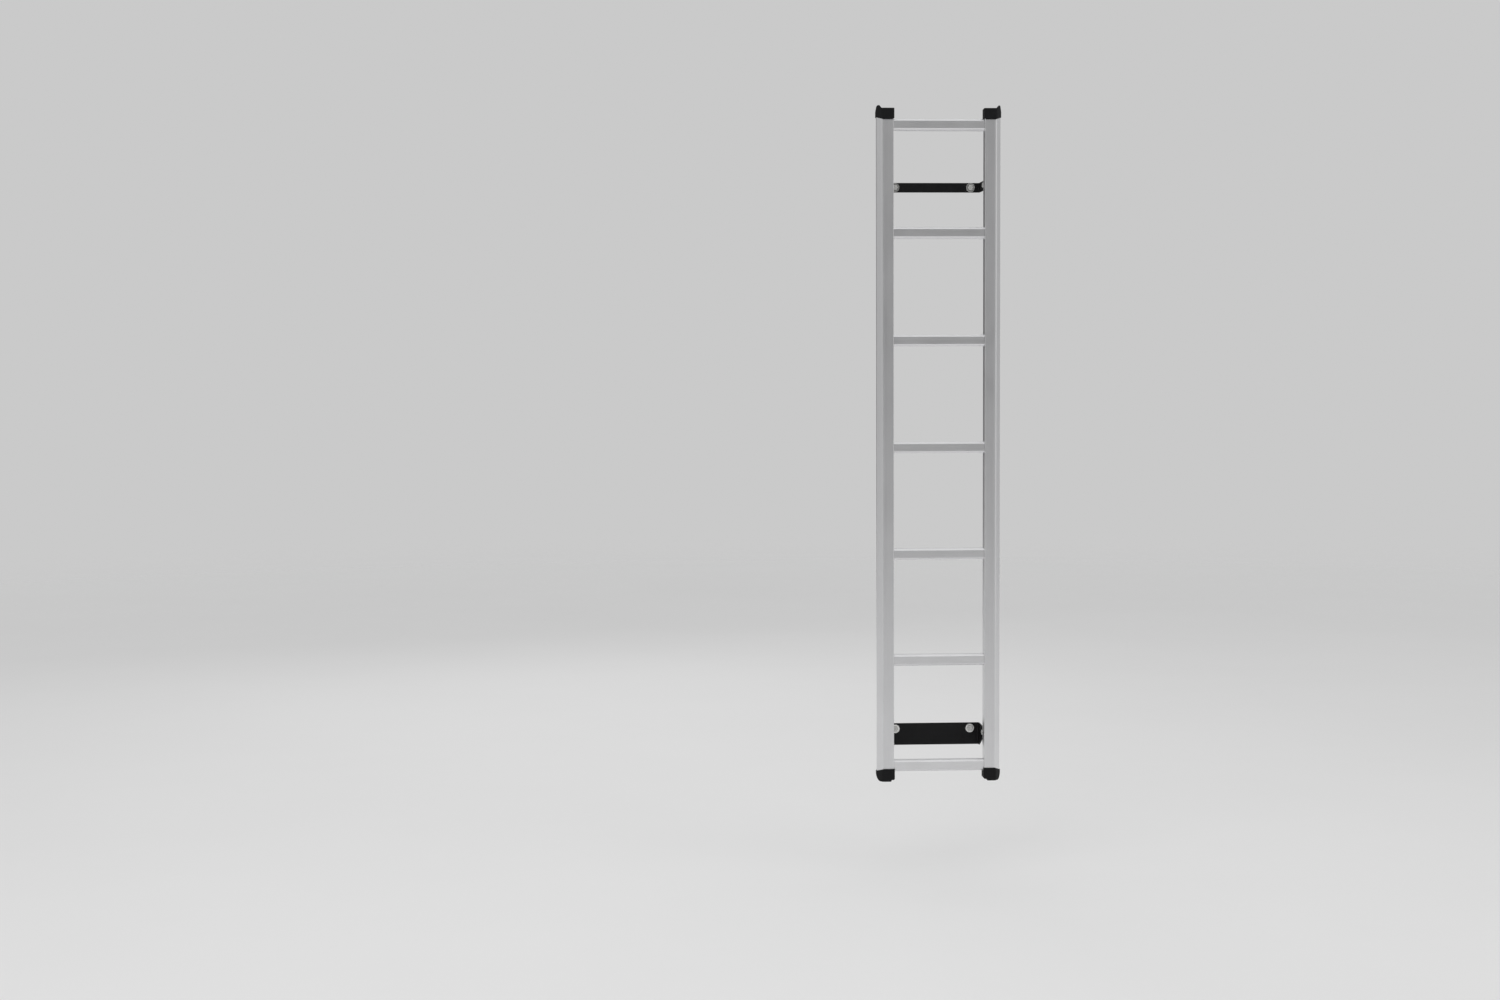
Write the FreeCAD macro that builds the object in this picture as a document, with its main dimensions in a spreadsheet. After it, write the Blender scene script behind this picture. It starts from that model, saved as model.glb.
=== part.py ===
import FreeCAD
import Part
import Sketcher
import math
import os

# A ladder that is bolted to the rear door of a high van.
# +X is to the right of someone who faces the door, +Y goes into the door and +Z is up.
# The origin lies on the door face of the lower bracket, midway between its two door bolts.

# Driving dimensions, in millimetres and degrees, with what each one measures
SIZES = [
    ("rung_pitch", 300, "from one rung to the next"),
    ("clear_width", 256, "between the inner sides of the stiles"),
    ("stand_off", 104, "from the door face to the backs of the stiles"),
    ("bottom_rung_drop", 83.5, "lower door bolts to the middle of the bottom rung"),
    ("bracket_rise", 1557, "lower door bolts to upper door bolts"),
    ("stile_width", 46.5, "width of a stile seen from the front"),
    ("stile_depth", 32, "front to back"),
    ("stile_flat", 27.5, "width of the flat front of a stile"),
    ("facet_angle", 53.5, "turn from the flat front to the outer facet"),
    ("nose_radius", 8, "between the flat front and the facet"),
    ("outer_radius", 3, "of the two outer corners of a stile"),
    ("inner_radius", 2.5, "of the two inner corners of a stile"),
    ("stile_wall", 2.2, "wall of the extruded stile"),
    ("stile_over_top", 36, "middle of the top rung to the top end of the stiles"),
    ("stile_under_bottom", 30, "middle of the bottom rung to the bottom end of the stiles"),
    ("rung_height", 31.5, "over the tread and the underside"),
    ("rung_depth", 26.5, "front to back"),
    ("rung_radius", 5.5, "of the corners of a rung"),
    ("rung_wall", 2, "wall of the extruded rung"),
    ("tread_wall", 3, "wall under the ribs of the tread"),
    ("lip_height", 5.5, "of the lip above and below the front of a rung"),
    ("face_recess", 0.8, "depth of the front of a rung behind its lips"),
    ("rib_pitch", 3.4, "from one rib of the tread to the next"),
    ("rib_groove", 2.2, "width of a groove between two ribs"),
    ("rib_depth", 1.2, "depth of a groove between two ribs"),
    ("tenon", 6, "how far a rung reaches into each stile"),
    ("cap_clearance", 0.15, "between a cap and the stile inside it"),
    ("cap_wall", 2.1, "wall of the skirt of a cap"),
    ("cap_skirt", 22, "length of the skirt over the stile"),
    ("cap_skirt_rise", 9, "how much shorter the skirt is at its outer side"),
    ("cap_end", 9, "thickness of the closed end of a cap"),
    ("cap_edge", 1, "bevel around the end of a cap"),
    ("skirt_corner", 5, "how far the inner corner of a top cap's skirt is cut back"),
    ("heel_height", 9, "of the raised outer side of a top cap"),
    ("heel_width", 12.5, "of the raised outer side of a top cap"),
    ("heel_lean", 5, "how far the inner side of the heel leans outwards"),
    ("heel_root", 4, "rounding where the heel meets the end of the cap"),
    ("foot_height", 5, "of the foot under a bottom cap"),
    ("foot_inset", 9, "from the inner side of the stile to the foot"),
    ("foot_draft", 2, "how far the inner side of the foot leans"),
    ("foot_corner", 8, "how far the outer corner of the foot is cut back"),
    ("foot_bevel", 3, "of the inner corner beside the foot"),
    ("plate", 3, "thickness of the steel of brackets and arms"),
    ("web_half", 133, "middle of a bracket to the inner face of its wing"),
    ("bolt_half", 108.5, "middle of a bracket to a door bolt"),
    ("strap_half", 13.5, "half the height of the upper bracket and of the arms"),
    ("web_above", 16, "top of the lower bracket over its bolts"),
    ("web_below", 47, "bottom of the lower bracket under its bolts"),
    ("wing_splay", 5, "how far the wings lean outwards"),
    ("wing_reach", 78, "door face to the end of a wing"),
    ("taper_start", 12, "door face to where the lower wing starts to taper"),
    ("taper_end", 58, "door face to where the lower wing is as slim as the upper"),
    ("strap_drop", 3, "lower door bolts to the middle of the lower arms"),
    ("bend_radius", 3, "inside a bend of the steel"),
    ("corner_cut", 5, "of the free corners of the steel"),
    ("wing_bolt_reach", 63, "door face to a wing bolt"),
    ("slot_travel", 14, "how far the standoff can be adjusted"),
    ("arm_reach", 46, "door face to the free end of an arm"),
    ("arm_foot", 170, "middle of the ladder to the outer end of an arm"),
    ("stile_bolt_half", 160.5, "middle of the ladder to a stile bolt"),
    ("hole_radius", 4.5, "of a bolt hole"),
    ("bolt_radius", 4, "of a bolt shank"),
    ("stud_radius", 3.82, "of the smooth bar that stands for a door bolt's thread"),
    ("head_flats", 13, "across the flats of a bolt head or nut"),
    ("head_height", 5.3, "of a bolt head"),
    ("nut_height", 8, "of a wing nut with its locking collar"),
    ("washer_radius", 12.5, "of the washer under a door bolt's head"),
    ("washer_height", 2, "of the washer under a door bolt's head"),
    ("thread_gap", 0.05, "between a nut and its bolt"),
    ("stud_reach", 18, "how far a door bolt stands out behind its bracket"),
    ("bolt_tail", 3, "how far a wing bolt stands out of its nut"),
    ("stile_bolt_bite", 9, "how far a stile bolt reaches inside the stile"),
]
RUNG_COUNT = 7

# Places that several pieces share, worked out from the sheet
BOTTOM_RUNG = "(0 - Size.bottom_rung_drop)"
TOP_RUNG = f"({BOTTOM_RUNG} + {RUNG_COUNT - 1} * Size.rung_pitch)"
STILE_BOTTOM = f"({BOTTOM_RUNG} - Size.stile_under_bottom)"
STILE_TOP = f"({TOP_RUNG} + Size.stile_over_top)"
STILE_FRONT = "(0 - Size.stand_off - Size.stile_depth)"
RUNG_SETBACK = "((Size.stile_depth - Size.rung_depth) / 2)"
SPLAY = "(Size.wing_splay * 1 deg)"
WING_OUTER = f"(Size.web_half + Size.plate / cos({SPLAY}))"
CAP_GROW = "(Size.cap_clearance + Size.cap_wall)"
LOWER_STRAP = "(0 - Size.strap_drop)"

doc = FreeCAD.newDocument("VanDoorLadder")


def make_sheet():
    """Put every driving dimension in the spreadsheet under its alias."""
    sheet = doc.addObject("Spreadsheet::Sheet", "Size")
    for row, (alias, value, note) in enumerate(SIZES, start=1):
        sheet.set(f"A{row}", note)
        sheet.set(f"B{row}", str(value))
        sheet.setAlias(f"B{row}", alias)
    doc.recompute()
    return sheet


sheet = make_sheet()


def number(expression):
    """The value of an expression of the sheet, as a plain number."""
    value = sheet.evalExpression(expression)
    return float(getattr(value, "Value", value))


# Sketching
def new_body(name):
    """An empty body whose label names its file."""
    body = doc.addObject("PartDesign::Body", name)
    body.Label = name
    return body


def new_sketch(body, role, lift="0"):
    """A sketch on one of the body's own origin planes, lifted along the plane's normal."""
    sketch = body.newObject("Sketcher::SketchObject", f"{body.Name}_sketch")
    plane = next(f for f in body.Origin.OriginFeatures if f.Role == role)
    sketch.AttachmentSupport = (plane, "")
    sketch.MapMode = "FlatFace"
    sketch.setExpression("AttachmentOffset.Base.z", f"({lift}) * 1 mm")
    return sketch


def drive(sketch, constraint, expression):
    """Add a constraint and bind its value to the sheet."""
    index = sketch.addConstraint(constraint)
    sketch.setExpression(f"Constraints[{index}]", expression)


def place_point(sketch, line, end, x=None, y=None):
    """Bind the distance of a line's end from the sketch's origin."""
    if x is not None:
        drive(sketch, Sketcher.Constraint("DistanceX", -1, 1, line, end, number(x)), x)
    if y is not None:
        drive(sketch, Sketcher.Constraint("DistanceY", -1, 1, line, end, number(y)), y)


def polygon(sketch, corners):
    """A closed outline of straight lines, each corner bound to the sheet."""
    points = [FreeCAD.Vector(number(x), number(y), 0) for x, y in corners]
    first = sketch.GeometryCount
    count = len(points)
    for index, point in enumerate(points):
        sketch.addGeometry(Part.LineSegment(point, points[(index + 1) % count]), False)
    for index, (x, y) in enumerate(corners):
        after = first + (index + 1) % count
        sketch.addConstraint(Sketcher.Constraint("Coincident", first + index, 2, after, 1))
        place_point(sketch, first + index, 1, x, y)


def rounded_loop(sketch, corners, radii):
    """Lines with tangent arcs at their corners, drawn anticlockwise. Returns both lists.

    A radius of nothing leaves the corner square and puts None in the list of arcs.
    """
    count = len(corners)
    points = [FreeCAD.Vector(x, y, 0) for x, y in corners]
    headings = []
    for index, point in enumerate(points):
        step = points[(index + 1) % count] - point
        headings.append(math.atan2(step.y, step.x))
    turns = [(headings[i] - headings[i - 1]) % (2 * math.pi) for i in range(count)]
    trims = [radii[i] * math.tan(turns[i] / 2) for i in range(count)]
    lines = []
    arcs = []
    for i, point in enumerate(points):
        after = (i + 1) % count
        along = FreeCAD.Vector(math.cos(headings[i]), math.sin(headings[i]), 0)
        start = point + along * trims[i]
        end = points[after] - along * trims[after]
        lines.append(sketch.addGeometry(Part.LineSegment(start, end), False))
    for i, point in enumerate(points):
        if not radii[i]:
            arcs.append(None)
            continue
        along = FreeCAD.Vector(math.cos(headings[i]), math.sin(headings[i]), 0)
        inward = FreeCAD.Vector(-along.y, along.x, 0)
        centre = point + along * trims[i] + inward * radii[i]
        circle = Part.Circle(centre, FreeCAD.Vector(0, 0, 1), radii[i])
        from_angle = headings[i - 1] - math.pi / 2
        arc = Part.ArcOfCircle(circle, from_angle, from_angle + turns[i])
        arcs.append(sketch.addGeometry(arc, False))
    for i in range(count):
        if arcs[i] is None:
            sketch.addConstraint(Sketcher.Constraint("Coincident", lines[i - 1], 2, lines[i], 1))
            continue
        sketch.addConstraint(Sketcher.Constraint("Tangent", lines[i - 1], 2, arcs[i], 1))
        sketch.addConstraint(Sketcher.Constraint("Tangent", arcs[i], 2, lines[i], 1))
    return lines, arcs


def rounded_rectangle(sketch, left, right, bottom, top, radius):
    """A rectangle with round corners, its sides bound to the sheet."""
    corners = [(number(x), number(y)) for x, y in
               ((left, bottom), (right, bottom), (right, top), (left, top))]
    lines, arcs = rounded_loop(sketch, corners, [number(radius)] * 4)
    low, east, high, west = lines
    for line in (low, high):
        sketch.addConstraint(Sketcher.Constraint("Horizontal", line))
    for line in (east, west):
        sketch.addConstraint(Sketcher.Constraint("Vertical", line))
    place_point(sketch, low, 1, y=bottom)
    place_point(sketch, high, 1, y=top)
    place_point(sketch, east, 1, x=right)
    place_point(sketch, west, 1, x=left)
    for arc in arcs:
        drive(sketch, Sketcher.Constraint("Radius", arc, number(radius)), radius)


def cut_rectangle(sketch, left, right, bottom, top, cut):
    """A rectangle with its corners cut off at 45 degrees."""
    polygon(sketch, [
        (f"{left} + {cut}", bottom), (f"{right} - {cut}", bottom),
        (right, f"{bottom} + {cut}"), (right, f"{top} - {cut}"),
        (f"{right} - {cut}", top), (f"{left} + {cut}", top),
        (left, f"{top} - {cut}"), (left, f"{bottom} + {cut}")])


def circle(sketch, x, y, radius):
    """A round hole, its centre and radius bound to the sheet."""
    centre = FreeCAD.Vector(number(x), number(y), 0)
    index = sketch.addGeometry(Part.Circle(centre, FreeCAD.Vector(0, 0, 1), number(radius)), False)
    drive(sketch, Sketcher.Constraint("DistanceX", -1, 1, index, 3, centre.x), x)
    drive(sketch, Sketcher.Constraint("DistanceY", -1, 1, index, 3, centre.y), y)
    drive(sketch, Sketcher.Constraint("Radius", index, number(radius)), radius)


def stile_outline(sketch, grow, square=False):
    """The section of a stile, grown outwards: flat front, round nose, facet, side and back.

    The sketch's X runs outwards from the inner side of the stile, and its Y from the front back.
    The bore of a stile has square corners beside its round nose.
    """
    offset = number(grow)
    width = number("Size.stile_width")
    depth = number("Size.stile_depth")
    flat = number("Size.stile_flat")
    angle = math.radians(number("Size.facet_angle"))
    nose = number("Size.nose_radius") + offset
    outer = 0 if square else number("Size.outer_radius") + offset
    inner = 0 if square else number("Size.inner_radius") + offset
    nose_x = flat + nose * math.tan(angle / 2)
    facet_y = -offset + (width + offset - nose_x) * math.tan(angle)
    corners = [(-offset, -offset), (nose_x, -offset), (width + offset, facet_y),
               (width + offset, depth + offset), (-offset, depth + offset)]
    lines, arcs = rounded_loop(sketch, corners, [inner, nose, outer, outer, inner])
    front, facet, outer_side, back, inner_side = lines
    for line in (front, back):
        sketch.addConstraint(Sketcher.Constraint("Horizontal", line))
    for line in (outer_side, inner_side):
        sketch.addConstraint(Sketcher.Constraint("Vertical", line))
    place_point(sketch, front, 2, x="Size.stile_flat", y=f"0 - {grow}")
    place_point(sketch, outer_side, 1, x=f"Size.stile_width + {grow}")
    place_point(sketch, back, 1, y=f"Size.stile_depth + {grow}")
    place_point(sketch, inner_side, 1, x=f"0 - {grow}")
    drive(sketch, Sketcher.Constraint("Angle", facet, angle), "Size.facet_angle * 1 deg")
    names = ("inner_radius", "nose_radius", "outer_radius", "outer_radius", "inner_radius")
    for arc, name in zip(arcs, names):
        value = f"Size.{name} + {grow}"
        if arc is not None:
            drive(sketch, Sketcher.Constraint("Radius", arc, number(value)), value)


# Features
def pad(body, sketch, length, middle=False):
    """Pad a sketch along its normal, or evenly to both sides."""
    feature = body.newObject("PartDesign::Pad", f"{body.Name}_pad")
    feature.Profile = sketch
    feature.SideType = "Symmetric" if middle else "One side"
    feature.setExpression("Length", length)
    doc.recompute()
    return feature


def pocket(body, sketch, length=None, middle=False, forward=False):
    """Cut a sketch out of the body: through all of it where no length is given."""
    before = body.Shape.Volume
    feature = body.newObject("PartDesign::Pocket", f"{body.Name}_pocket")
    feature.Profile = sketch
    feature.SideType = "Symmetric" if middle else "One side"
    feature.Reversed = forward
    if length is None:
        feature.Type = "ThroughAll"
    else:
        feature.Type = "Length"
        feature.setExpression("Length", length)
    doc.recompute()
    if body.Shape.Volume > before - 1e-3:
        raise RuntimeError(f"a pocket of {body.Name} cuts nothing")
    return feature


def repeat(body, feature, sketch, axis, step, count):
    """Repeat a feature along an axis of its sketch."""
    pattern = body.newObject("PartDesign::LinearPattern", f"{body.Name}_pattern")
    pattern.Originals = [feature]
    pattern.Direction = (sketch, [axis])
    pattern.Occurrences = count
    pattern.setExpression("Length", f"{step} * {count - 1}")
    body.Tip = pattern
    doc.recompute()
    return pattern


def dress_edges(body, kind, size, test):
    """Round or bevel the edges whose middle point passes a test."""
    base = body.Tip
    names = []
    for index, edge in enumerate(base.Shape.Edges, start=1):
        middle = edge.valueAt((edge.FirstParameter + edge.LastParameter) / 2)
        if test(body.Placement.inverse().multVec(middle), edge):
            names.append(f"Edge{index}")
    if not names:
        raise RuntimeError(f"{body.Name} has no edge to dress")
    feature = body.newObject(f"PartDesign::{kind}", f"{body.Name}_{kind}")
    feature.Base = (base, names)
    feature.setExpression("Radius" if kind == "Fillet" else "Size", size)
    doc.recompute()
    if not feature.isValid():
        raise RuntimeError(f"a {kind} of {body.Name} failed")
    return feature


def fillet(body, radius, test):
    """Round the edges that pass a test."""
    return dress_edges(body, "Fillet", radius, test)


def chamfer(body, size, test):
    """Bevel the edges that pass a test."""
    return dress_edges(body, "Chamfer", size, test)


def is_upright(edge):
    """Whether a straight edge runs along Z."""
    step = edge.Vertexes[-1].Point - edge.Vertexes[0].Point
    return abs(step.z) > 0.999 * max(step.Length, 1e-9)


def move(thing, x="0", y="0", z="0"):
    """Bind where a piece stands to the sheet."""
    for axis, expression in zip("xyz", (x, y, z)):
        thing.setExpression(f"Placement.Base.{axis}", f"({expression}) * 1 mm")


def mirrored(name, source):
    """The same piece on the other side of the ladder."""
    twin = doc.addObject("Part::Mirroring", name)
    twin.Label = name
    twin.Source = source
    twin.Normal = FreeCAD.Vector(1, 0, 0)
    return twin


def pair(name, source):
    """A piece and its mirror image, kept together as one part of two solids."""
    both = doc.addObject("Part::Compound", name)
    both.Label = name
    both.Links = [mirrored(f"{name}_left", source), source]
    return both


# Stiles
def make_stile(name):
    """A hollow extruded stile with an opening for each rung and a hole for each stile bolt."""
    body = new_body(name)
    section = new_sketch(body, "XY_Plane")
    stile_outline(section, "0")
    stile_outline(section, "(0 - Size.stile_wall)", square=True)
    pad(body, section, f"{STILE_TOP} - {STILE_BOTTOM}")

    opening = new_sketch(body, "YZ_Plane")
    cut_rectangle(
        opening, RUNG_SETBACK, f"{RUNG_SETBACK} + Size.rung_depth",
        "Size.stile_under_bottom - Size.rung_height / 2",
        "Size.stile_under_bottom + Size.rung_height / 2", "Size.rung_radius * 0.58")
    mouth = pocket(body, opening, "2 * Size.stile_wall + 1", middle=True)
    repeat(body, mouth, opening, "V_Axis", "Size.rung_pitch", RUNG_COUNT)

    holes = new_sketch(body, "XZ_Plane", "0 - Size.stile_depth")
    for height in (LOWER_STRAP, "Size.bracket_rise"):
        circle(holes, "Size.stile_bolt_half - Size.clear_width / 2",
               f"{height} - {STILE_BOTTOM}", "Size.bolt_radius + 0.3")
    pocket(body, holes, "2 * Size.stile_wall + 1", middle=True)
    move(body, "Size.clear_width / 2", STILE_FRONT, STILE_BOTTOM)
    return body


# Rungs
def make_rung(number_from_top):
    """A hollow extruded rung with a ribbed tread and a lip above and below its front."""
    body = new_body(f"rung_{number_from_top}")
    half = "Size.rung_height / 2"
    section = new_sketch(body, "YZ_Plane")
    rounded_rectangle(section, "0", "Size.rung_depth", f"0 - {half}", half, "Size.rung_radius")
    cut_rectangle(
        section, "(Size.rung_wall + Size.face_recess)", "(Size.rung_depth - Size.rung_wall)",
        f"(Size.rung_wall - {half})", f"({half} - Size.tread_wall)",
        "(Size.rung_radius - Size.rung_wall) / 2")
    pad(body, section, "Size.clear_width + 2 * Size.tenon", middle=True)

    recess = new_sketch(body, "YZ_Plane")
    face_top = f"{half} - Size.lip_height"
    rim = "(Size.face_recess * 0.4)"
    polygon(recess, [
        ("0 - 1", f"0 - ({face_top})"), ("0", f"0 - ({face_top})"),
        ("Size.face_recess", f"{rim} - ({face_top})"),
        ("Size.face_recess", f"{face_top} - {rim}"),
        ("0", face_top), ("0 - 1", face_top)])
    pocket(body, recess, middle=True)

    groove = new_sketch(body, "YZ_Plane")
    groove_count = 5
    first = f"(Size.rung_depth - {groove_count - 1} * Size.rib_pitch) / 2"
    polygon(groove, [
        (f"{first} - Size.rib_groove / 2", f"{half} + 0.01"),
        (f"{first} - Size.rib_groove / 6", f"{half} - Size.rib_depth"),
        (f"{first} + Size.rib_groove / 6", f"{half} - Size.rib_depth"),
        (f"{first} + Size.rib_groove / 2", f"{half} + 0.01")])
    channel = pocket(body, groove, middle=True)
    repeat(body, channel, groove, "H_Axis", "Size.rib_pitch", groove_count)

    steps_down = number_from_top - 1
    move(body, "0", f"{STILE_FRONT} + {RUNG_SETBACK}", f"{TOP_RUNG} - {steps_down} * Size.rung_pitch")
    return body


# End caps
def cap_blank(name, height, corner):
    """A cap's block over the end of a stile, with its socket and its shaped skirt.

    The cap's own Z points out of the end of the stile, from the floor of the socket.
    """
    body = new_body(name)
    block = new_sketch(body, "XY_Plane", "0 - Size.cap_skirt")
    stile_outline(block, CAP_GROW)
    pad(body, block, f"Size.cap_skirt + Size.cap_end + {height}")

    socket = new_sketch(body, "XY_Plane", "0 - Size.cap_skirt")
    stile_outline(socket, "Size.cap_clearance")
    pocket(body, socket, "Size.cap_skirt", forward=True)

    edge = new_sketch(body, "XZ_Plane")
    skirt = "0 - Size.cap_skirt"
    outer = f"Size.stile_width + {CAP_GROW} + 1"
    inner = f"0 - {CAP_GROW} - 1"
    polygon(edge, [
        (inner, f"{skirt} - 1"), (outer, f"{skirt} - 1"),
        (outer, f"{skirt} + Size.cap_skirt_rise"), ("Size.stile_flat + 3", skirt),
        ("3", skirt), (inner, f"{skirt} + {corner}")])
    pocket(body, edge, middle=True)
    return body


def make_top_cap(name):
    """The cap of a stile's top end, with a raised heel along its outer side."""
    body = cap_blank(name, "Size.heel_height", "Size.skirt_corner")
    hollow = new_sketch(body, "XZ_Plane")
    under_crest = "Size.cap_end + Size.heel_height - Size.cap_edge"
    over_crest = "Size.cap_end + Size.heel_height + Size.cap_edge"
    heel = "Size.stile_width - Size.heel_width"
    inner = f"0 - {CAP_GROW} - 1"
    outer = f"Size.stile_width + {CAP_GROW}"
    polygon(hollow, [
        (inner, "Size.cap_end"), (heel, "Size.cap_end"),
        (f"{heel} + Size.heel_lean", under_crest),
        (f"{heel} + Size.heel_lean + 2 * Size.cap_edge", over_crest), (inner, over_crest)])
    lean = "Size.heel_lean * 0.7"
    polygon(hollow, [
        (outer, "0"), (f"{outer} + 1", "0"), (f"{outer} + 1", over_crest),
        (f"{outer} - {lean} - 2 * Size.cap_edge", over_crest), (f"{outer} - {lean}", under_crest)])
    pocket(body, hollow, middle=True)
    floor = number("Size.cap_end")
    corner = number(heel)
    fillet(body, "Size.heel_root", lambda p, e: abs(p.z - floor) < 0.1 and abs(p.x - corner) < 0.1)
    move(body, "Size.clear_width / 2", STILE_FRONT, STILE_TOP)
    return body


def make_bottom_cap(name):
    """The cap of a stile's bottom end, with a notch for the rung and a flat foot."""
    body = cap_blank(name, "Size.foot_height", "0")
    notch = new_sketch(body, "YZ_Plane")
    front = f"{RUNG_SETBACK} - Size.cap_clearance"
    back = f"{RUNG_SETBACK} + Size.rung_depth + Size.cap_clearance"
    rim = "0 - Size.cap_skirt - 1"
    floor = "Size.rung_height / 2 + Size.cap_clearance - Size.stile_under_bottom"
    polygon(notch, [(front, rim), (back, rim), (back, floor), (front, floor)])
    pocket(body, notch, f"{CAP_GROW} + 1")

    step = new_sketch(body, "XZ_Plane")
    inner = f"0 - {CAP_GROW} - 1"
    sole = "Size.cap_end + Size.foot_height + 1"
    polygon(step, [
        (inner, "Size.cap_end - Size.foot_bevel"),
        (f"0 - {CAP_GROW}", "Size.cap_end - Size.foot_bevel"),
        (f"Size.foot_bevel - {CAP_GROW}", "Size.cap_end"),
        ("Size.foot_inset - Size.foot_draft", "Size.cap_end"),
        ("Size.foot_inset", sole), (inner, sole)])
    pocket(body, step, middle=True)
    corner = new_sketch(body, "XZ_Plane")
    outer = f"Size.stile_width + {CAP_GROW}"
    ground = "Size.cap_end + Size.foot_height"
    polygon(corner, [
        (f"{outer} - Size.foot_corner", ground),
        (f"{outer} - Size.foot_corner / 2", f"{ground} - Size.foot_corner * 0.55"),
        (f"{outer} - Size.foot_corner / 5", f"{ground} - Size.foot_corner * 1.4"),
        (outer, f"{ground} - Size.foot_corner * 2.4"),
        (f"{outer} + 1", f"{ground} - Size.foot_corner * 2.4"), (f"{outer} + 1", sole),
        (f"{outer} - Size.foot_corner", sole)])
    pocket(body, corner, middle=True)
    level = number(ground)
    chamfer(body, "Size.cap_edge", lambda p, e: abs(p.z - level) < 0.1)
    body.Placement = FreeCAD.Placement(
        FreeCAD.Vector(0, 0, 0), FreeCAD.Rotation(FreeCAD.Vector(0, 1, 0), 180))
    move(body, "0 - Size.clear_width / 2", STILE_FRONT, STILE_BOTTOM)
    return body


# Door brackets and arms
def make_door_bracket(name, above, below, height, strap):
    """A bent steel plate: a web on the door and two wings that lean outwards.

    The wings' free ends are as slim as the arms, and their middle lies at the height of strap.
    """
    body = new_body(name)
    reach = "(Size.wing_reach - Size.plate)"
    tip_x = f"(Size.web_half + {reach} * tan({SPLAY}))"
    back_x = f"({WING_OUTER} - Size.plate * tan({SPLAY}))"
    half = [
        (back_x, "0"),
        (f"{tip_x} + Size.plate * cos({SPLAY})", f"Size.plate * sin({SPLAY}) - Size.wing_reach"),
        (tip_x, "0 - Size.wing_reach"),
        ("Size.web_half", "0 - Size.plate")]
    other_half = [(f"0 - ({x})", y) for x, y in reversed(half)]
    profile = new_sketch(body, "XY_Plane", f"0 - {below}")
    polygon(profile, half + other_half)
    pad(body, profile, f"{above} + {below}")

    web = number("Size.plate")
    outer_corner = number(back_x)
    inner_corner = number("Size.web_half")
    fillet(body, "Size.bend_radius + Size.plate",
           lambda p, e: is_upright(e) and abs(abs(p.x) - outer_corner) < 0.1 and abs(p.y) < 0.1)
    fillet(body, "Size.bend_radius",
           lambda p, e: is_upright(e) and abs(abs(p.x) - inner_corner) < 0.1 and abs(p.y + web) < 0.1)

    if number(below) > number("Size.strap_half"):
        taper = new_sketch(body, "YZ_Plane")
        beyond = "0 - Size.wing_reach - 1"
        for sign, edge in (("-", below), ("+", above)):
            slim = f"{strap} {sign} Size.strap_half"
            polygon(taper, [
                ("0 - Size.taper_start", f"0 {sign} {edge}"), ("0 - Size.taper_end", slim),
                (beyond, slim), (beyond, f"0 {sign} {edge} {sign} 1"),
                ("0 - Size.taper_start", f"0 {sign} {edge} {sign} 1")])
        pocket(body, taper, middle=True)
    tip = number("Size.wing_reach")
    chamfer(body, "Size.corner_cut",
            lambda p, e: p.y < -tip + 1.5 and e.Length < 2 * web and not is_upright(e))

    door_holes = new_sketch(body, "XZ_Plane")
    for side in ("", "0 - "):
        circle(door_holes, f"{side}Size.bolt_half", "0", "Size.hole_radius")
    pocket(body, door_holes, middle=True)

    slots = new_sketch(body, "YZ_Plane")
    outward = "(Size.slot_travel / 3 + Size.hole_radius)"
    doorward = "(Size.slot_travel * 2 / 3 + Size.hole_radius)"
    rounded_rectangle(
        slots, f"0 - Size.wing_bolt_reach - {outward}", f"0 - Size.wing_bolt_reach + {doorward}",
        f"{strap} - Size.hole_radius", f"{strap} + Size.hole_radius", "Size.hole_radius - 0.02")
    pocket(body, slots, middle=True)
    move(body, "0", "0", height)
    return body


def make_arm(name, height):
    """A bent steel strap from the outside of a wing to the back of the stile."""
    body = new_body(name)
    run = "(Size.stand_off - Size.plate)"
    near_x = f"({WING_OUTER} + (Size.arm_reach - Size.plate) * tan({SPLAY}))"
    far_x = f"({WING_OUTER} + {run} * tan({SPLAY}))"
    shift_x = f"(Size.plate * cos({SPLAY}))"
    inner_x = f"({WING_OUTER} + ({run} - Size.plate) * tan({SPLAY}) + Size.plate / cos({SPLAY}))"
    profile = new_sketch(body, "XY_Plane", "0 - Size.strap_half")
    polygon(profile, [
        (far_x, "0 - Size.stand_off"), ("Size.arm_foot", "0 - Size.stand_off"),
        ("Size.arm_foot", "Size.plate - Size.stand_off"), (inner_x, "Size.plate - Size.stand_off"),
        (f"{near_x} + {shift_x}", f"Size.plate * sin({SPLAY}) - Size.arm_reach"),
        (near_x, "0 - Size.arm_reach")])
    pad(body, profile, "2 * Size.strap_half")

    outer_corner = number(far_x)
    inner_corner = number(inner_x)
    back = number("Size.stand_off")
    step = number("Size.plate")
    fillet(body, "Size.bend_radius + Size.plate",
           lambda p, e: is_upright(e) and abs(p.x - outer_corner) < 0.1 and abs(p.y + back) < 0.1)
    fillet(body, "Size.bend_radius",
           lambda p, e: is_upright(e) and abs(p.x - inner_corner) < 0.1
           and abs(p.y + back - step) < 0.1)
    foot = number("Size.arm_foot")
    reach = number("Size.arm_reach")
    chamfer(body, "Size.corner_cut",
            lambda p, e: not is_upright(e) and e.Length < 2 * step
            and (p.x > foot - 0.1 or p.y > -reach - 0.1))

    stile_hole = new_sketch(body, "XZ_Plane")
    circle(stile_hole, "Size.stile_bolt_half", "0", "Size.hole_radius")
    pocket(body, stile_hole, middle=True)
    wing_hole = new_sketch(body, "YZ_Plane")
    circle(wing_hole, "0 - Size.wing_bolt_reach", "0", "Size.hole_radius")
    pocket(body, wing_hole, middle=True)
    move(body, "0", "0", height)
    return body


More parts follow.
